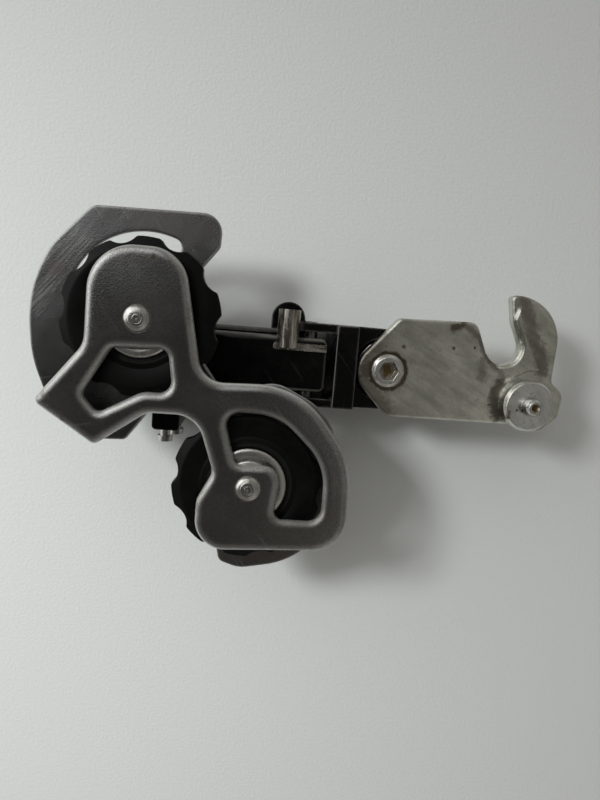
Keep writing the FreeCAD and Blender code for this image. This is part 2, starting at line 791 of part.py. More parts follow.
def springs():
    """Three hidden coil springs: hanger, cage and parallelogram return."""
    coil("hanger_spring", 7.3, 0.8, BOSS_TOP - 13.6, BOSS_TOP - 2.0, 4, (HANGER[0], HANGER[1], 0))
    top = OUTER_BACK - 0.5
    coil("cage_spring", 5.6, 0.6, top - 12.8, top - 1.4, 4, (GUIDE[0], GUIDE[1], 0))
    coil("return_spring", 2.8, 0.5, -5.0, 5.0, 6, (UP_X, AXIS_Y, PIN_OUT), "Y")


claw_plate()
hanger_bolt()
hanger_washer()
dropout_nut()
dropout_screw()
upper_knuckle()
inner_link()
outer_link()
cable_clamp()
cable_trough()
lower_knuckle()
limit_screws()
pivot_pins()
inner_cage_plate()
outer_cage_plate()
cage_pivot()
pulley_axle("guide_axle", GUIDE, OUTER_FACE - 12, False)
pulley_axle("tension_axle", TENSION, OUTER_BACK - 2.2, True)
guide = pulley_set("guide", GUIDE)
tension = pulley_set("tension", TENSION)
springs()
doc.recompute()

os.makedirs("parts", exist_ok=True)
problems = []
for thing in doc.Objects:
    if "Invalid" in thing.State or "Error" in thing.State:
        problems.append("%s %s" % (thing.Label, thing.State))
pieces = [o for o in doc.Objects if o.TypeId == "PartDesign::Body"]
pieces += [o for o in doc.Objects if o.TypeId == "Part::Feature"]
for piece in pieces:
    if piece.Shape.isNull() or not piece.Shape.isValid():
        problems.append("%s has no valid shape" % piece.Label)
if problems:
    raise RuntimeError("; ".join(problems))
for piece in pieces:
    piece.Shape.exportStep("parts/%s.step" % piece.Label)
    print(piece.Label, len(piece.Shape.Solids), round(piece.Shape.Volume, 1))
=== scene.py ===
import json
import math

import bpy
import numpy as np
from mathutils import Matrix, Vector

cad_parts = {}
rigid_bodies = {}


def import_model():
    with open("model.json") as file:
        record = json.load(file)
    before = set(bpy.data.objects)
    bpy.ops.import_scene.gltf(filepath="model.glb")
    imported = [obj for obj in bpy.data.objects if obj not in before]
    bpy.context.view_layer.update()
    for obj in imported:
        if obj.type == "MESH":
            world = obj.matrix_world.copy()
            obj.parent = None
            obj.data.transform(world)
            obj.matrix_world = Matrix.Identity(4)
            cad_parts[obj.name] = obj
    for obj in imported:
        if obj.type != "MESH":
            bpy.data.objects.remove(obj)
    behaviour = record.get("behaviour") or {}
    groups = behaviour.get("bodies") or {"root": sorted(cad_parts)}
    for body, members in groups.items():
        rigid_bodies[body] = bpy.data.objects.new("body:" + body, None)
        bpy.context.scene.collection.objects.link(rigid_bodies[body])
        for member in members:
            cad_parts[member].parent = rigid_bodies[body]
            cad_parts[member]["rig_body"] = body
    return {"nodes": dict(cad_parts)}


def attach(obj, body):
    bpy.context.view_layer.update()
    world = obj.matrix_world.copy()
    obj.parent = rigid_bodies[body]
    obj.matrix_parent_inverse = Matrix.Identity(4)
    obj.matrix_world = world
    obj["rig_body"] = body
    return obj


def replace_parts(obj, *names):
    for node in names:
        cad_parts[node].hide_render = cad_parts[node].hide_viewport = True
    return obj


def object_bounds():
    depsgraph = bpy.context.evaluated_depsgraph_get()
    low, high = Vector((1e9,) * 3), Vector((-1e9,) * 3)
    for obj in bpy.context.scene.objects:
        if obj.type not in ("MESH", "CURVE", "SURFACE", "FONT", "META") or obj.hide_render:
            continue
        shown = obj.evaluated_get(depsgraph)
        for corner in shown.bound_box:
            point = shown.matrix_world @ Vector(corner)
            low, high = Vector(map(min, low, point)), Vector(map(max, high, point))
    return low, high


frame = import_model()
cad_low, cad_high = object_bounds()


# Claw plate: a 3.2 mm steel stamping that the wheel axle clamps to the frame. Zinc plated and faintly yellow,
# with rolled edges and oily brown dirt by the pivot, along the slot and at the hook's step, painted shade in
# a ring round the pivot bolt and a painted dark reflection in a crescent left of the dropout nut.
def dressed_copy(node, material, bevel=0.00012):
    """Smooth copy of a CAD node: doubled corners merged, faces that meet under the sharp angle shaded as
    one surface, sharper edges broken by a narrow two-step bevel."""
    sharp = math.radians(32)
    source = frame["nodes"][node]
    mesh = source.data.copy()
    piece = bpy.data.objects.new(node + "_finished", mesh)
    bpy.context.scene.collection.objects.link(piece)
    mesh.materials.clear()
    mesh.materials.append(material)
    weld = piece.modifiers.new("weld", "WELD")
    weld.merge_threshold = 2e-6
    bpy.context.view_layer.update()
    merged = bpy.data.meshes.new_from_object(piece.evaluated_get(bpy.context.evaluated_depsgraph_get()))
    piece.modifiers.clear()
    piece.data = merged
    if merged.has_custom_normals:
        with bpy.context.temp_override(object=piece, active_object=piece):
            bpy.ops.mesh.customdata_custom_splitnormals_clear()
    merged.shade_smooth()
    merged.set_sharp_from_angle(angle=sharp)
    if bevel:
        edge = piece.modifiers.new("broken_edges", "BEVEL")
        edge.width = bevel
        edge.segments = 2
        edge.limit_method = "ANGLE"
        edge.angle_limit = sharp
        edge.use_clamp_overlap = True
    even = piece.modifiers.new("even_faces", "WEIGHTED_NORMAL")
    even.keep_sharp = True
    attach(piece, source["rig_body"])
    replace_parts(piece, node)


def new_group(name, inputs, outputs):
    """Shader node group with float, vector or colour sockets."""
    tree = bpy.data.node_groups.new(name, "ShaderNodeTree")
    for label, kind, value in inputs:
        socket = tree.interface.new_socket(label, in_out="INPUT", socket_type=kind)
        socket.default_value = value
    for label, kind in outputs:
        tree.interface.new_socket(label, in_out="OUTPUT", socket_type=kind)
    return tree, tree.nodes.new("NodeGroupInput"), tree.nodes.new("NodeGroupOutput")


def join(tree, value, socket):
    """Sets a socket's value, or links another socket to it."""
    if isinstance(value, bpy.types.NodeSocket):
        tree.links.new(value, socket)
    else:
        socket.default_value = value


def noise(tree, vector, scale, detail=4.0, rough=0.55, stretch=None, turn=0.0):
    """Noise texture on a vector, optionally turned about Z and stretched along the axes."""
    if stretch is not None:
        mapping = tree.nodes.new("ShaderNodeMapping")
        mapping.vector_type = "TEXTURE"
        mapping.inputs["Rotation"].default_value = (0.0, 0.0, math.radians(turn))
        mapping.inputs["Scale"].default_value = [1.0 / share for share in stretch]
        tree.links.new(vector, mapping.inputs["Vector"])
        vector = mapping.outputs["Vector"]
    node = tree.nodes.new("ShaderNodeTexNoise")
    node.inputs["Detail"].default_value = detail
    node.inputs["Roughness"].default_value = rough
    join(tree, scale, node.inputs["Scale"])
    tree.links.new(vector, node.inputs["Vector"])
    return node.outputs["Fac"]


def ramp(tree, fac, stops):
    """Colour ramp from (position, grey) stops."""
    node = tree.nodes.new("ShaderNodeValToRGB")
    points = node.color_ramp.elements
    while len(points) < len(stops):
        points.new(0.5)
    for point, (place, grey) in zip(points, stops):
        point.position = place
        point.color = (grey, grey, grey, 1.0)
    tree.links.new(fac, node.inputs["Fac"])
    return node.outputs["Color"]


def maths(tree, kind, a, b, clamp=False):
    """Math node of two values or sockets."""
    node = tree.nodes.new("ShaderNodeMath")
    node.operation = kind
    node.use_clamp = clamp
    join(tree, a, node.inputs[0])
    join(tree, b, node.inputs[1])
    return node.outputs[0]


def vectors(tree, kind, a, b, result="Vector"):
    """Vector math node of two vectors, or of a vector and a scale."""
    node = tree.nodes.new("ShaderNodeVectorMath")
    node.operation = kind
    join(tree, a, node.inputs[0])
    join(tree, b, node.inputs["Scale"] if kind == "SCALE" else node.inputs[1])
    return node.outputs[result]


def mix(tree, fac, a, b):
    """Colour mix of two colours or sockets."""
    node = tree.nodes.new("ShaderNodeMix")
    node.data_type = "RGBA"
    first, second = [socket for socket in node.inputs if socket.type == "RGBA"]
    join(tree, fac, node.inputs[0])
    join(tree, a, first)
    join(tree, b, second)
    return [socket for socket in node.outputs if socket.type == "RGBA"][0]


def add_group(tree, group, **values):
    """Places a group in a material with its own values."""
    node = tree.nodes.new("ShaderNodeGroup")
    node.node_tree = group
    for label, value in values.items():
        join(tree, value, node.inputs[label.replace("_", " ")])
    return node


def new_material(name):
    """Material with a Principled shader, given back with its node tree and that shader."""
    material = bpy.data.materials.new(name)
    material.use_nodes = True
    return material, material.node_tree, material.node_tree.nodes["Principled BSDF"]


def grained(tree, shader, height, strength, depth):
    """Bump on the shader from a height between 0 and 1, the depth in metres."""
    bumps = tree.nodes.new("ShaderNodeBump")
    bumps.inputs["Strength"].default_value = strength
    bumps.inputs["Distance"].default_value = depth
    tree.links.new(height, bumps.inputs["Height"])
    tree.links.new(bumps.outputs["Normal"], shader.inputs["Normal"])
    return bumps


# Wear: scratches in two directions, cloudy tarnish, fine pits and specks on the vector that goes in
wear, wear_in, wear_out = new_group(
    "metal_wear",
    [("Vector", "NodeSocketVector", (0, 0, 0)), ("Cloud Scale", "NodeSocketFloat", 90.0),
     ("Pit Scale", "NodeSocketFloat", 1500.0)],
    [("Scratches", "NodeSocketFloat"), ("Clouds", "NodeSocketFloat"), ("Pits", "NodeSocketFloat"),
     ("Specks", "NodeSocketFloat")])
w_vec = wear_in.outputs["Vector"]
streak_a = noise(wear, w_vec, scale=800.0, detail=3.0, rough=0.6, stretch=(1.0, 0.05, 1.0), turn=38.0)
streak_b = noise(wear, w_vec, scale=620.0, detail=3.0, rough=0.6, stretch=(0.05, 1.0, 1.0), turn=12.0)
scratch = maths(wear, "ADD", ramp(wear, streak_a, [(0.64, 0.0), (0.72, 1.0)]),
                ramp(wear, streak_b, [(0.68, 0.0), (0.77, 0.8)]))
wear.links.new(scratch, wear_out.inputs["Scratches"])
cloud = noise(wear, w_vec, scale=wear_in.outputs["Cloud Scale"], detail=6.0, rough=0.62)
wear.links.new(ramp(wear, cloud, [(0.35, 0.0), (0.68, 1.0)]), wear_out.inputs["Clouds"])
pit = noise(wear, w_vec, scale=wear_in.outputs["Pit Scale"], detail=2.0, rough=0.5)
wear.links.new(ramp(wear, pit, [(0.62, 0.0), (0.74, 1.0)]), wear_out.inputs["Pits"])
speck = noise(wear, w_vec, scale=3200.0, detail=1.0, rough=0.5)
wear.links.new(ramp(wear, speck, [(0.36, 0.0), (0.66, 1.0)]), wear_out.inputs["Specks"])

# Edge mask: 1 on edges, where the normal of a small shading bevel leaves the surface's own normal
edges, edges_in, edges_out = new_group(
    "edge_mask", [("Radius", "NodeSocketFloat", 0.0006)], [("Edge", "NodeSocketFloat")])
bent = edges.nodes.new("ShaderNodeBevel")
bent.samples = 4
edges.links.new(edges_in.outputs["Radius"], bent.inputs["Radius"])
plain_normal = edges.nodes.new("ShaderNodeNewGeometry")
level = vectors(edges, "DOT_PRODUCT", bent.outputs["Normal"], plain_normal.outputs["Normal"], "Value")
edges.links.new(ramp(edges, level, [(0.88, 1.0), (0.992, 0.0)]), edges_out.inputs["Edge"])

# Smear: a ragged mask along a line, 1 in its middle and fading to 0 near its radius; it lays dirt, and on the
# claw painted shade and a painted dark reflection
smear_shape, smear_in, smear_out = new_group(
    "ragged_smear",
    [("Vector", "NodeSocketVector", (0, 0, 0)), ("From", "NodeSocketVector", (0, 0, 0)),
     ("To", "NodeSocketVector", (0, 0, 0)), ("Radius", "NodeSocketFloat", 0.002)],
    [("Mask", "NodeSocketFloat")])
along = vectors(smear_shape, "SUBTRACT", smear_in.outputs["To"], smear_in.outputs["From"])
off = vectors(smear_shape, "SUBTRACT", smear_in.outputs["Vector"], smear_in.outputs["From"])
part = maths(smear_shape, "DIVIDE", vectors(smear_shape, "DOT_PRODUCT", off, along, "Value"),
             vectors(smear_shape, "DOT_PRODUCT", along, along, "Value"), clamp=True)
reach = vectors(smear_shape, "DISTANCE", off, vectors(smear_shape, "SCALE", along, part), "Value")
share = maths(smear_shape, "DIVIDE", reach, smear_in.outputs["Radius"])
ragged = noise(smear_shape, smear_in.outputs["Vector"], scale=700.0, detail=6.0, rough=0.7)
fade = maths(smear_shape, "SUBTRACT", maths(smear_shape, "MULTIPLY", ragged, 1.7), maths(smear_shape, "MULTIPLY", share, 0.95))
smear_shape.links.new(ramp(smear_shape, fade, [(0.02, 0.0), (0.55, 1.0)]), smear_out.inputs["Mask"])


def smears(tree, vector, places):
    """Largest of several ragged smudges, of dirt and on the claw also painted shade and a painted reflection,
    each a line of (x, y) points with its height, radius and strength; lengths in millimetres. A single point
    becomes a line of a hundredth."""
    total = None
    for points, level, radius, strength in places:
        ends = points[1:] or [(points[0][0] + 0.01, points[0][1])]
        for (x0, y0), (x1, y1) in zip(points, ends):
            start = (x0 / 1000, y0 / 1000, level / 1000)
            end = (x1 / 1000, y1 / 1000, level / 1000)
            spot = add_group(tree, smear_shape, Vector=vector, From=start, To=end, Radius=radius / 1000)
            mask = maths(tree, "MULTIPLY", spot.outputs["Mask"], strength)
            total = mask if total is None else maths(tree, "MAXIMUM", total, mask)
    return total


def leaning(tree, normal, stops):
    """Mask by how level the surface is: a ramp over the size of the normal's Z."""
    split = tree.nodes.new("ShaderNodeSeparateXYZ")
    tree.links.new(normal, split.inputs[0])
    return ramp(tree, maths(tree, "ABSOLUTE", split.outputs["Z"], 0.0), stops)


def steel(name, clean, dull, dirt, rough, spread, dirt_share, cloud_scale=90.0, scratches=0.3, rims=0.4,
          specks=0.15, grain=0.3, shoulder=0.0, drift=None, ground=(), stains_and_shading=(),
          stain_and_shading_tone=(0.10, 0.075, 0.05, 1)):
    """Plated steel: two greys in clouds, lighter specks, matt bare scratches and rims, edges that shade as a
    rolled shoulder of the given width, broad drifts (their angle, amount and tone), patches ground in one
    direction, dark dirt in the pits and dull ragged smudges along given lines, of dirt and, on the claw, also
    of painted shade and a painted dark reflection."""
    speck_tone = (0.80, 0.80, 0.78, 1)
    bare_tone = (0.68, 0.67, 0.635, 1)
    material, tree, shader = new_material(name)
    coords = tree.nodes.new("ShaderNodeTexCoord")
    place = coords.outputs["Object"]
    marks = add_group(tree, wear, Vector=place, Cloud_Scale=cloud_scale)
    tone = mix(tree, marks.outputs["Clouds"], clean, dull)
    if drift:
        turned, amount, other_tone = drift
        broad = noise(tree, place, scale=260.0, detail=5.0, rough=0.65, stretch=(1.0, 0.22, 1.0), turn=turned)
        drifted = maths(tree, "MULTIPLY", ramp(tree, broad, [(0.40, 0.0), (0.66, 1.0)]), amount)
        tone = mix(tree, drifted, tone, other_tone)
    tone = mix(tree, maths(tree, "MULTIPLY", marks.outputs["Specks"], specks), tone, speck_tone)
    matt = maths(tree, "MULTIPLY", marks.outputs["Scratches"], scratches)
    if rims:
        rim = leaning(tree, coords.outputs["Normal"], [(0.45, 1.0), (0.90, 0.0)])
        if shoulder:
            band = add_group(tree, edges, Radius=shoulder)
            rim = maths(tree, "MAXIMUM", rim, maths(tree, "MULTIPLY", band.outputs["Edge"], 0.8))
        rubbed = maths(tree, "SUBTRACT", rims, maths(tree, "MULTIPLY", marks.outputs["Clouds"], rims * 0.25))
        matt = maths(tree, "MAXIMUM", matt, maths(tree, "MULTIPLY", rim, rubbed))
    if ground:
        fine = noise(tree, place, scale=3400.0, detail=3.0, rough=0.6, stretch=(1.0, 0.03, 1.0), turn=-40.0)
        lines = ramp(tree, fine, [(0.47, 0.0), (0.60, 1.0)])
        patch = maths(tree, "MULTIPLY", smears(tree, place, ground), lines)
        matt = maths(tree, "MAXIMUM", matt, patch)
    tone = mix(tree, matt, tone, bare_tone)
    tone = mix(tree, maths(tree, "MULTIPLY", marks.outputs["Pits"], dirt_share), tone, dirt)
    uneven = maths(tree, "ADD", maths(tree, "MULTIPLY", marks.outputs["Clouds"], spread), rough)
    uneven = maths(tree, "ADD", uneven, maths(tree, "MULTIPLY", matt, 0.2), clamp=True)
    # Smudges of dirt, and on the claw also painted shade and a painted dark reflection, dull and darken the
    # tone
    if stains_and_shading:
        stain_and_shading_spots = smears(tree, place, stains_and_shading)
        tone = mix(tree, stain_and_shading_spots, tone, stain_and_shading_tone)
        uneven = maths(tree, "ADD", uneven, maths(tree, "MULTIPLY", stain_and_shading_spots, 0.25), clamp=True)
    tree.links.new(tone, shader.inputs["Base Color"])
    metal = maths(tree, "SUBTRACT", 1.0, maths(tree, "MULTIPLY", matt, 0.85))
    tree.links.new(metal, shader.inputs["Metallic"])
    tree.links.new(uneven, shader.inputs["Roughness"])
    height = maths(tree, "ADD", marks.outputs["Specks"], marks.outputs["Pits"])
    bumps = grained(tree, shader, height, strength=grain, depth=0.00004)
    if shoulder:
        rolled = tree.nodes.new("ShaderNodeBevel")
        rolled.samples = 6
        rolled.inputs["Radius"].default_value = shoulder
        tree.links.new(rolled.outputs["Normal"], bumps.inputs["Normal"])
    return material


bolt_at = (-32.8, -9.2)
# Painted shade: a dark ring on the claw round the pivot bolt, where the bolt sits in its hole
ring_radius = 5.3
ring = [(bolt_at[0] + ring_radius * math.cos(a), bolt_at[1] + ring_radius * math.sin(a))
        for a in np.linspace(0, 2 * math.pi, 11)]
claw_stains_and_shading = [
    ([(4.2, 14.0), (6.4, 8.9), (8.5, 4.0), (11.3, -1.5), (12.4, -6.0)], 0, 3.2, 0.6),
    ([(-15.2, 4.2), (-12.6, 5.4)], 0, 1.7, 0.85),
    ([(-12.0, 5.6), (-6.9, 2.0), (-4.4, -3.2), (-1.5, -6.0)], 0, 1.5, 0.6),
    ([(-5.6, -4.5), (-5.2, -9.0)], 0, 2.2, 0.4),
    ([(-3.4, -4.2)], 0, 1.6, 0.7),
    # Painted reflection: a dark crescent on the plate just left of the dropout nut
    ([(0.4, -10.6), (-0.7, -13.0), (-0.8, -16.5), (0.6, -20.0)], 0, 2.6, 0.8),
    ([(-14.4, -1.3)], 0, 0.8, 0.9),
    ([(-28.9, -2.1)], 0, 0.9, 0.8),
    ([(-8.3, -0.8)], 0, 0.7, 0.9),
    ([(-36.0, 1.0), (-41.0, -8.5), (-38.0, -14.0), (-33.0, -20.5)], 0, 4.5, 0.55),
    ([(-38.5, -9.2)], 0, 6.5, 0.8),
    # Painted shade: the dark ring round the pivot bolt
    (ring, 0, 1.1, 0.95),
]
# The stain tone here also colours the painted shade ring and the painted dark crescent
zinc = steel(
    "worn_zinc", clean=(0.80, 0.80, 0.72, 1), dull=(0.56, 0.56, 0.49, 1), dirt=(0.10, 0.08, 0.055, 1),
    rough=0.14, spread=0.12, dirt_share=0.45, cloud_scale=110.0, scratches=0.12, rims=0.06, specks=0.12,
    shoulder=0.0010, drift=(62.0, 0.6, (0.30, 0.31, 0.26, 1)), stains_and_shading=claw_stains_and_shading,
    stain_and_shading_tone=(0.075, 0.058, 0.034, 1))
dressed_copy("claw_plate", zinc)


# Hanger bolt and its thrust washer: a turned and plated steel pivot screwed into the claw; only its
# chamfered end with the hexagon socket shows, brassy with old grease inside.
socket_floor = -2.0
bolt_steel = steel(
    "bolt_end", clean=(0.74, 0.74, 0.72, 1), dull=(0.64, 0.63, 0.60, 1), dirt=(0.16, 0.12, 0.06, 1),
    rough=0.14, spread=0.12, dirt_share=0.4, rims=0.1, stains_and_shading=[([bolt_at], socket_floor, 4.4, 1.0)],
    stain_and_shading_tone=(0.17, 0.12, 0.055, 1))
for node in ("hanger_bolt", "hanger_washer"):
    dressed_copy(node, bolt_steel)


# Dropout nut and screw: a round plated nut that keys the claw into the frame, with the hollow end of its
# screw standing out, brown with dried grease.
nut_at = (8.2, -16.0)
nut_face = 4.4
screw_end = 7.6
nut_stains = [
    ([(2.2, -18.0), (2.3, -19.7)], 4, 0.9, 0.9),
    ([(4.4, -17.3)], nut_face, 0.6, 0.9),
    ([(5.9, -17.4)], nut_face, 0.55, 0.9),
    ([nut_at], screw_end, 1.9, 1.0),
    ([nut_at], nut_face, 3.5, 0.35),
]
nut_steel = steel(
    "nut_zinc", clean=(0.78, 0.79, 0.77, 1), dull=(0.60, 0.60, 0.56, 1), dirt=(0.10, 0.08, 0.05, 1),
    rough=0.12, spread=0.12, dirt_share=0.5, cloud_scale=220.0, rims=0.0, shoulder=0.0005,
    drift=(30.0, 0.45, (0.34, 0.34, 0.31, 1)), stains_and_shading=nut_stains, stain_and_shading_tone=(0.13, 0.085, 0.035, 1))
for node in ("dropout_nut", "dropout_screw"):
    dressed_copy(node, nut_steel)


# Upper knuckle, links and lower knuckle: cast and pressed metal under glossy black enamel, with a painted
# brownish grey sheen on the bends and edges, the edges also rubbed. They make up the parallelogram between
# claw and cage.
def enamel(name, rough, rub_and_sheen_share):
    """Black enamel: faint cloudy gloss, painted grey sheen on the bends, grey rubbed edges that are partly
    painted sheen too, fine dust.
    """
    deep_black = (0.0006, 0.0006, 0.0007, 1)
    cloudy_black = (0.0012, 0.0011, 0.001, 1)
    dust = (0.10, 0.095, 0.085, 1)
    # Painted sheen: a brownish grey on the bends, standing in for their highlight
    bend_sheen_grey = (0.12, 0.112, 0.10, 1)
    # Rubbed grey on the edges: paint worn through, partly also painted sheen
    rubbed_grey = (0.20, 0.18, 0.165, 1)
    scratch_grey = (0.12, 0.12, 0.12, 1)
    material, tree, shader = new_material(name)
    coords = tree.nodes.new("ShaderNodeTexCoord")
    place = coords.outputs["Object"]
    marks = add_group(tree, wear, Vector=place, Cloud_Scale=160.0)
    rim = add_group(tree, edges, Radius=0.0007)
    # Rubbed edges in clouds: wear, partly also painted sheen on the edges
    rub_and_sheen = maths(tree, "MULTIPLY", rim.outputs["Edge"], marks.outputs["Clouds"])
    # Painted sheen: surfaces that lean, the bends, turn grey by how far they lean
    bend = leaning(tree, coords.outputs["Normal"], [(0.12, 0.0), (0.35, 1.0), (0.75, 1.0), (0.93, 0.0)])
    tone = mix(tree, marks.outputs["Clouds"], deep_black, cloudy_black)
    tone = mix(tree, maths(tree, "MULTIPLY", marks.outputs["Pits"], 0.04), tone, dust)
    tone = mix(tree, maths(tree, "MULTIPLY", bend, 0.75), tone, bend_sheen_grey)
    tone = mix(tree, maths(tree, "MULTIPLY", rub_and_sheen, rub_and_sheen_share), tone, rubbed_grey)
    tone = mix(tree, maths(tree, "MULTIPLY", marks.outputs["Scratches"], 0.05), tone, scratch_grey)
    tree.links.new(tone, shader.inputs["Base Color"])
    shader.inputs["Specular IOR Level"].default_value = 0.22
    uneven = maths(tree, "ADD", maths(tree, "MULTIPLY", marks.outputs["Clouds"], 0.14), rough)
    tree.links.new(uneven, shader.inputs["Roughness"])
    grained(tree, shader, marks.outputs["Pits"], strength=0.2, depth=0.00005)
    return material


black = enamel("black_enamel", rough=0.18, rub_and_sheen_share=0.7)
for node in ("upper_knuckle", "outer_link", "inner_link", "lower_knuckle"):
    dressed_copy(node, black, bevel=0.0003)


# Cable strip: bare sheet steel along the inner link's bend, fixed on the link and pressed into a half pipe
# over the cable's way; scored along the pipe and along the strip.
def scored(name):
    """Bare steel, streaked along Y on the half pipe and along X on the strip to its right, brown in the
    hollows and bright on the crests."""
    pipe_side = -0.0584
    brown = (0.15, 0.12, 0.09, 1)
    polished = (0.74, 0.72, 0.67, 1)
    dirt = (0.07, 0.055, 0.04, 1)
    material, tree, shader = new_material(name)
    place = tree.nodes.new("ShaderNodeTexCoord").outputs["Object"]
    marks = add_group(tree, wear, Vector=place, Cloud_Scale=300.0, Pit_Scale=1100.0)
    split = tree.nodes.new("ShaderNodeSeparateXYZ")
    tree.links.new(place, split.inputs[0])
    on_strip = maths(tree, "GREATER_THAN", split.outputs["X"], pipe_side)
    pipe_lines = noise(tree, place, scale=1500.0, detail=3.0, rough=0.6, stretch=(1.0, 0.07, 0.6))
    strip_lines = noise(tree, place, scale=900.0, detail=5.0, rough=0.7, stretch=(0.3, 1.0, 1.0))
    streak = mix(tree, on_strip, pipe_lines, strip_lines)
    crest = ramp(tree, streak, [(0.38, 0.0), (0.66, 1.0)])
    tone = mix(tree, crest, brown, polished)
    tone = mix(tree, maths(tree, "MULTIPLY", marks.outputs["Pits"], 0.7), tone, dirt)
    tree.links.new(tone, shader.inputs["Base Color"])
    shader.inputs["Metallic"].default_value = 1.0
    uneven = maths(tree, "ADD", maths(tree, "MULTIPLY", crest, 0.12), 0.22)
    tree.links.new(uneven, shader.inputs["Roughness"])
    height = maths(tree, "ADD", streak, marks.outputs["Pits"])
    grained(tree, shader, height, strength=0.55, depth=0.00008)
    return material


dressed_copy("cable_trough", scored("scored_strip"), bevel=0.0002)


# Pins, screws and bushes: small turned parts of plated steel, riveted, screwed or slipped into the pieces
# they join; the four link pins are black with oil.
bright = steel(
    "bright_steel", clean=(0.66, 0.65, 0.63, 1), dull=(0.55, 0.54, 0.51, 1), dirt=(0.12, 0.10, 0.07, 1),
    rough=0.24, spread=0.14, dirt_share=0.45, rims=0.0)
for node in ("cable_clamp_screw", "cable_clamp_washer", "cable_clamp_nut", "limit_screws", "cage_pivot_tube",
             "cage_pivot_screw", "guide_bush", "tension_bush"):
    dressed_copy(node, bright)
oiled = steel(
    "oiled_pins", clean=(0.16, 0.16, 0.155, 1), dull=(0.10, 0.10, 0.095, 1), dirt=(0.03, 0.025, 0.02, 1),
    rough=0.24, spread=0.14, dirt_share=0.45, scratches=0.1, rims=0.0)
for node in ("upper_inner_pin", "upper_outer_pin", "lower_inner_pin", "lower_outer_pin"):
    dressed_copy(node, oiled)


# Coil springs: dark oiled spring wire wound into coils, one in the boss of each knuckle and one in the fork;
# the knuckles hide most of them.
wire = steel(
    "spring_wire", clean=(0.20, 0.20, 0.21, 1), dull=(0.14, 0.14, 0.14, 1), dirt=(0.03, 0.03, 0.03, 1),
    rough=0.35, spread=0.15, dirt_share=0.4, rims=0.0)
for node in ("hanger_spring", "return_spring", "cage_spring"):
    dressed_copy(node, wire, bevel=0.0)


# Outer cage plate: flat sheet steel cut in one with the chain guard; ground diagonally by the chain at the
# left of the guard, brownish at the guard's top and beyond the tension pulley.
outer_face = 7.5
guard_stains = [
    ([(-122.7, 11.3)], outer_face, 2.6, 0.75),
    ([(-111.6, 23.3)], outer_face, 0.7, 0.9),
    ([(-104.0, 25.5), (-86.0, 24.0)], outer_face, 6.0, 0.35),
    ([(-76.0, -62.0), (-58.0, -63.0)], outer_face, 7.0, 0.65),
]
guard_ground = [([(-127.5, 2.0), (-124.0, 12.0), (-117.0, 19.0)], outer_face, 6.0, 0.2)]
cage_scratched = steel(
    "cage_scratched", clean=(0.23, 0.235, 0.24, 1), dull=(0.17, 0.168, 0.165, 1), dirt=(0.08, 0.08, 0.07, 1),
    rough=0.17, spread=0.12, dirt_share=0.35, scratches=0.2, rims=0.7, specks=0.1, shoulder=0.0007,
    drift=(-35.0, 0.45, (0.36, 0.37, 0.38, 1)), ground=guard_ground, stains_and_shading=guard_stains,
    stain_and_shading_tone=(0.14, 0.115, 0.10, 1))
dressed_copy("outer_cage_plate", cage_scratched)


# Pulleys: moulded black plastic with ten broad bevelled teeth, rubbed lighter along the edges, faintly dusty
# and finely grooved round the hub. They turn on steel bushes between two dust caps.
def grid_piece(name, points, material, node):
    """Closed ring surface: corner (i, j) joins (i+1, j), (i+1, j+1) and (i, j+1), and both directions close
    on themselves; i runs round the axis and j along the profile. Faces are flipped if the signed volume,
    the sum of a . (b x c) over their triangles, is negative."""
    sharp = math.radians(40)
    rows, cols = points.shape[:2]
    index = np.arange(rows * cols).reshape(rows, cols)
    index = np.concatenate([index, index[:1]])
    index = np.concatenate([index, index[:, :1]], axis=1)
    quads = np.stack([index[:-1, :-1], index[1:, :-1], index[1:, 1:], index[:-1, 1:]], axis=-1).reshape(-1, 4)
    corners = points.reshape(-1, 3)[quads]
    volume = np.einsum("ij,ij->i", corners[:, 0], np.cross(corners[:, 1], corners[:, 2]))
    volume += np.einsum("ij,ij->i", corners[:, 0], np.cross(corners[:, 2], corners[:, 3]))
    if volume.sum() < 0:
        quads = quads[:, ::-1]
    mesh = bpy.data.meshes.new(name)
    mesh.from_pydata(points.reshape(-1, 3).tolist(), [], quads.tolist())
    mesh.materials.append(material)
    mesh.shade_smooth()
    mesh.set_sharp_from_angle(angle=sharp)
    piece = bpy.data.objects.new(name, mesh)
    bpy.context.scene.collection.objects.link(piece)
    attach(piece, frame["nodes"][node]["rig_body"])
    return piece


def soft_profile(corners, radius):
    """Closed profile whose corners are rounded: each corner p between neighbours a and b becomes a parabola
    from p towards a to p towards b, cut at the radius or at the longest share of the side."""
    steps = 4
    longest = 0.45
    p = np.array(corners, float)
    to_a = np.roll(p, 1, axis=0) - p
    to_b = np.roll(p, -1, axis=0) - p
    long_a = np.linalg.norm(to_a, axis=1, keepdims=True)
    long_b = np.linalg.norm(to_b, axis=1, keepdims=True)
    start = p + to_a / long_a * np.minimum(radius, longest * long_a)
    end = p + to_b / long_b * np.minimum(radius, longest * long_b)
    t = np.linspace(0, 1, steps)[:, None, None]
    curve = (1 - t) ** 2 * start + 2 * t * (1 - t) * p + t ** 2 * end
    return curve.transpose(1, 0, 2).reshape(-1, 2)


def lathe(name, profile, axis, material, node):
    """Profile (radius, height) in millimetres turned about a vertical axis through (u, v): x = u + r cos a,
    y = v + r sin a, z = h."""
    steps = 128
    r, h = profile.T / 1000
    a = np.linspace(0, 2 * np.pi, steps, endpoint=False)[:, None]
    x = axis[0] / 1000 + r * np.cos(a)
    y = axis[1] / 1000 + r * np.sin(a)
    return grid_piece(name, np.stack([x, y, h + 0 * a], axis=-1), material, node)


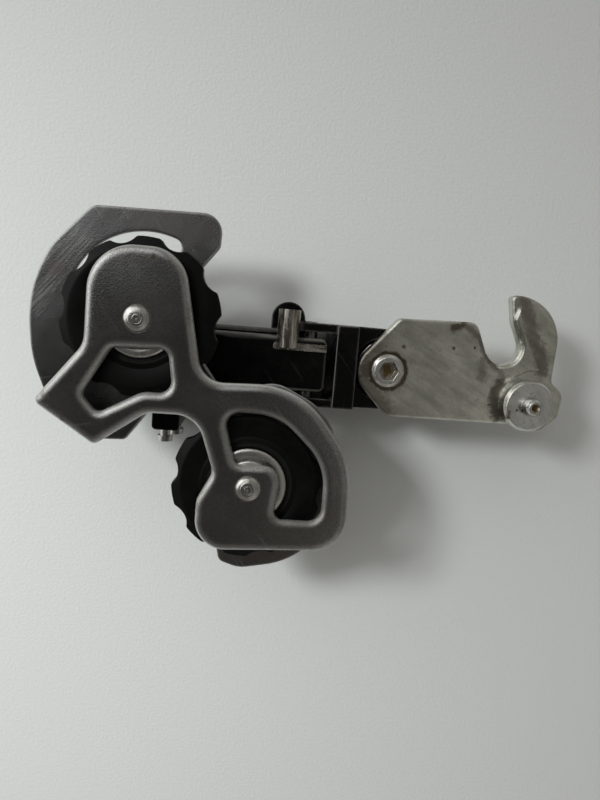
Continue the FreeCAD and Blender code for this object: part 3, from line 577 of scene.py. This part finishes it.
def toothed(name, axis, phase, material, node):
    """Toothed ring. Its rim R(a) is the tip radius, or in a valley the near side of a circle of radius b that
    bites in with its centre at c: c cos a - sqrt(b^2 - c^2 sin^2 a). The bevel falls by its slope from its
    foot out to R(a), and two shallow grooves ring the face."""
    teeth = 10
    tip, valley = 20.2, 18.6
    middle, half, hub = 12.15, 2.5, 3.85
    bore, collar = 4.05, 4.9
    foot = tip - 2.4
    slope = 0.5
    soft = 0.1
    deep, shallow = half - 0.22, half - 0.12
    valley_share = 0.264
    edge = math.radians(valley_share * 360 / teeth)
    c = (tip ** 2 - valley ** 2) / (2 * (tip * math.cos(edge) - valley))
    bite = c - valley
    a = np.linspace(0, 2 * np.pi, 720, endpoint=False)
    near = (a - math.radians(phase) + np.pi / teeth) % (2 * np.pi / teeth) - np.pi / teeth
    inside = np.clip(bite ** 2 - (c * np.sin(near)) ** 2, 0, None)
    rim = np.where(np.abs(near) < edge, c * np.cos(near) - np.sqrt(inside), tip)
    around = (-2, -1, 0, 1, 2)
    rim = sum(np.roll(rim, k) for k in around) / len(around)
    face = np.array([
        (bore, hub - soft), (bore + soft, hub), (collar - soft, hub), (collar, hub - soft),
        (collar + 1.0, half),
        (10.6, half), (10.8, deep), (11.1, deep), (11.3, half),
        (12.6, half), (12.75, shallow), (12.95, shallow), (13.1, half), (17.2, half)])
    t = np.array([0.0, 0.1, 0.5, 0.9, 0.97, 1.0])
    bevel_r = foot + (rim[:, None] - foot) * t
    bevel_h = half - (bevel_r - foot) * slope - np.where(t == 1.0, 0.12, 0.0)
    up_r = np.concatenate([np.broadcast_to(face[:, 0], (a.size, len(face))), bevel_r], axis=1)
    up_h = np.concatenate([np.broadcast_to(face[:, 1], (a.size, len(face))), bevel_h], axis=1)
    r = np.concatenate([up_r, up_r[:, ::-1]], axis=1) / 1000
    h = (middle + np.concatenate([up_h, -up_h[:, ::-1]], axis=1)) / 1000
    x = axis[0] / 1000 + r * np.cos(a)[:, None]
    y = axis[1] / 1000 + r * np.sin(a)[:, None]
    return grid_piece(name, np.stack([x, y, h], axis=-1), material, node)


def moulded(name):
    """Black plastic: fine grain, dusty film in clouds, lighter rubbed edges."""
    deep_black = (0.0011, 0.0011, 0.0011, 1)
    filmed_black = (0.0022, 0.0021, 0.002, 1)
    rubbed_grey = (0.08, 0.08, 0.075, 1)
    dust = (0.16, 0.15, 0.13, 1)
    material, tree, shader = new_material(name)
    place = tree.nodes.new("ShaderNodeTexCoord").outputs["Object"]
    marks = add_group(tree, wear, Vector=place, Cloud_Scale=140.0, Pit_Scale=2600.0)
    rim = add_group(tree, edges, Radius=0.0005)
    tone = mix(tree, marks.outputs["Clouds"], deep_black, filmed_black)
    tone = mix(tree, maths(tree, "MULTIPLY", rim.outputs["Edge"], 0.2), tone, rubbed_grey)
    tone = mix(tree, maths(tree, "MULTIPLY", marks.outputs["Pits"], 0.04), tone, dust)
    tree.links.new(tone, shader.inputs["Base Color"])
    shader.inputs["Specular IOR Level"].default_value = 0.14
    uneven = maths(tree, "ADD", maths(tree, "MULTIPLY", marks.outputs["Clouds"], 0.2), 0.36)
    tree.links.new(uneven, shader.inputs["Roughness"])
    grained(tree, shader, marks.outputs["Pits"], strength=0.3, depth=0.00005)
    return material


guide = (-100.1, 0.5)
apart = 50.9
lean = math.radians(54.1)
tension = (guide[0] + apart * math.cos(lean), guide[1] - apart * math.sin(lean))
plastic = moulded("pulley_plastic")
for name, axis, phase in (("guide", guide, -3.6), ("tension", tension, -6.3)):
    node = name + "_pulley"
    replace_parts(toothed(node + "_moulded", axis, phase, plastic, node), node)


# Dust caps: thin plated sheet pressed into a dish with a rolled rim, dull and brownish in clouds. The axles
# hold one on each side of each pulley, its flat middle on the cage plate.
cap_plating = steel(
    "cap_plating", clean=(0.62, 0.61, 0.59, 1), dull=(0.50, 0.48, 0.44, 1), dirt=(0.10, 0.085, 0.06, 1),
    rough=0.22, spread=0.16, dirt_share=0.4, cloud_scale=260.0, rims=0.0)
inner_face = 16.8
bore, rim, dish, sheet = 2.5, 9.9, 1.35, 0.45
brow, hollow, sunk = 7.4, 8.2, 0.25
dished = np.array([
    (bore, 0), (5.2, 0), (6.4, dish), (brow, dish), (hollow, dish - sunk), (rim - 0.5, dish - 0.15),
    (rim, dish + 0.2), (rim, dish + sheet), (hollow, dish + sheet - sunk), (brow, dish + sheet),
    (6.2, dish + sheet), (5.0, sheet), (bore, sheet)])
for name, axis in (("guide", guide), ("tension", tension)):
    for side, level, down in (("inner", inner_face, -1), ("outer", outer_face, 1)):
        node = "%s_%s_cap" % (name, side)
        profile = soft_profile(dished * (1, down) + (0, level), 0.35)
        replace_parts(lathe(node + "_pressed", profile, axis, cap_plating, node), node)


# Inner cage plate: pressed sheet steel facing the wheel, satin plated and finely speckled, its rims rolled
# over and rubbed bright, with oily specks along them.
plate_top = 18.2
rim_level = 17.5
plate_stains = [
    ([(-96.9, 15.4)], 18, 1.2, 0.9),
    ([(-93.4, -23.8)], rim_level, 1.4, 0.6),
    ([(-117.2, -25.7)], rim_level, 1.0, 0.8),
    ([(-112.8, -28.7), (-107.9, -29.9)], 17, 1.6, 0.5),
    ([(-121.4, -20.0)], rim_level, 2.0, 0.45),
    ([(-88.1, 3.5), (-87.7, -0.5)], rim_level, 0.9, 0.6),
    ([(-52.2, -49.5)], rim_level, 1.2, 0.4),
    ([(-80.0, -47.0), (-58.0, -54.0), (-47.0, -45.0)], plate_top, 8.0, 0.35),
    ([(-85.0, -18.0), (-70.0, -22.0)], plate_top, 6.0, 0.25),
]
cage_satin = steel(
    "cage_satin", clean=(0.32, 0.32, 0.315, 1), dull=(0.245, 0.242, 0.235, 1), dirt=(0.10, 0.09, 0.075, 1),
    rough=0.15, spread=0.08, dirt_share=0.4, scratches=0.05, rims=0.55, specks=0.25, grain=0.2,
    shoulder=0.0018, drift=(20.0, 0.4, (0.36, 0.36, 0.35, 1)), stains_and_shading=plate_stains)
dressed_copy("inner_cage_plate", cage_satin)


# Pulley axles: turned steel that holds pulley, caps and both cage plates together, riveted over the inner
# plate into domed heads that show the rings of the riveting tool; the heads are turned surfaces.
axle_steel = steel(
    "axle_steel", clean=(0.52, 0.51, 0.49, 1), dull=(0.42, 0.41, 0.38, 1), dirt=(0.12, 0.10, 0.07, 1),
    rough=0.16, spread=0.12, dirt_share=0.4, rims=0.0)
core, head, seat = 0.02, 3.24, 0.2
dome = soft_profile(np.array([
    (core, -seat), (core, 1.45), (0.9, 1.45), (1.0, 1.38), (1.25, 1.38), (1.35, 1.44), (1.9, 1.36),
    (2.05, 1.26), (2.6, 1.06), (3.0, 0.78), (head, 0.42), (head, -seat)]) + (0, plate_top), 0.12)
for name, axis in (("guide", guide), ("tension", tension)):
    dressed_copy(name + "_axle", axle_steel)
    lathe(name + "_axle_head", dome, axis, axle_steel, name + "_axle")


# Table top: a matt white sheet with a fine leathery grain, one square face laid level under the lowest point
# of the part.
floor_z = cad_low.z
floor_mesh = bpy.data.meshes.new("table_top")
wide = 1.6
floor_mesh.from_pydata(
    [(-wide, -wide, floor_z), (wide, -wide, floor_z), (wide, wide, floor_z), (-wide, wide, floor_z)],
    [], [(0, 1, 2, 3)])
table = bpy.data.objects.new("table_top", floor_mesh)
bpy.context.scene.collection.objects.link(table)
table_paint, tree, shader = new_material("table_paint")
place = tree.nodes.new("ShaderNodeTexCoord").outputs["Object"]
shader.inputs["Base Color"].default_value = (0.62, 0.625, 0.615, 1)
shader.inputs["Roughness"].default_value = 0.55
leather = noise(tree, place, scale=1100.0, detail=2.0, rough=0.5)
grained(tree, shader, leather, strength=0.5, depth=0.0002)
floor_mesh.materials.append(table_paint)

# Daylight: one small square lamp at the upper left, pointed left of the part so that the table fades to the
# right; metal doesn't mirror it
aim = Vector((-0.0572, -0.0193, 0.0))
brightest = Vector((-0.15, -0.17, 0.0))
daylight = bpy.data.lights.new("daylight", "AREA")
daylight.shape = "SQUARE"
daylight.size = 0.10
daylight.energy = 0.63
daylight.color = (0.95, 1.0, 0.985)
daylight.spread = math.radians(95)
lamp = bpy.data.objects.new("daylight", daylight)
bpy.context.scene.collection.objects.link(lamp)
lamp.location = aim + Vector((-0.31, 0.16, 0.36))
lamp.visible_glossy = False
lamp.rotation_euler = (brightest - lamp.location).to_track_quat("-Z", "Y").to_euler()

# Room light: dim overhead, brighter towards the walls and on one side, brightest in two window panes, which
# the metal mirrors in the lamp's stead
world = bpy.data.worlds.new("room")
bpy.context.scene.world = world
world.use_nodes = True
air = world.node_tree
view = air.nodes.new("ShaderNodeTexCoord").outputs["Generated"]
split = air.nodes.new("ShaderNodeSeparateXYZ")
air.links.new(view, split.inputs[0])
walls = ramp(air, split.outputs["Z"], [(0.0, 0.20), (0.50, 0.21), (0.78, 0.11), (0.92, 0.05), (1.0, 0.042)])
side = ramp(air, split.outputs["X"], [(0.04, 0.0), (0.30, 0.18), (0.50, 0.18), (0.75, 0.0)])
# Each pane: its direction, the cosines at which it starts and is full, and its level
upper_pane = ((-0.45, 0.57, 0.69), 0.82, 0.95, 1.1)
left_pane = ((-0.92, 0.30, 0.24), 0.80, 0.93, 1.5)
warm = (1.0, 0.97, 0.90, 1)
panes = []
for towards, start, full, level in (upper_pane, left_pane):
    near = vectors(air, "DOT_PRODUCT", view, towards, "Value")
    panes.append(("ADD", maths(air, "MULTIPLY", ramp(air, near, [(start, 0.0), (full, 1.0)]), level)))
glow = walls
for kind, layer in [("ADD", side), ("MULTIPLY", warm)] + panes:
    glow = mix(air, 1.0, glow, layer)
    glow.node.blend_type = kind
air.links.new(glow, air.nodes["Background"].inputs["Color"])
air.nodes["Background"].inputs["Strength"].default_value = 1.0

# Camera: 168 mm above the claw's inner face, looking down a few degrees off upright and rolled a little
lens = bpy.data.cameras.new("above")
lens.sensor_width = 36.0
lens.lens = 27.0
lens.clip_start = 0.005
camera = bpy.data.objects.new("above", lens)
bpy.context.scene.collection.objects.link(camera)
eye = Vector((-0.07124, 0.00388, 0.1682))
roll = math.radians(4.6)
ahead = (aim - eye).normalized()
right = ahead.cross(Vector((-math.sin(roll), math.cos(roll), 0.0))).normalized()
up = right.cross(ahead)
camera.matrix_world = Matrix((
    (right.x, up.x, -ahead.x, eye.x),
    (right.y, up.y, -ahead.y, eye.y),
    (right.z, up.z, -ahead.z, eye.z),
    (0.0, 0.0, 0.0, 1.0)))
bpy.context.scene.camera = camera
bpy.context.scene.view_settings.view_transform = "Standard"
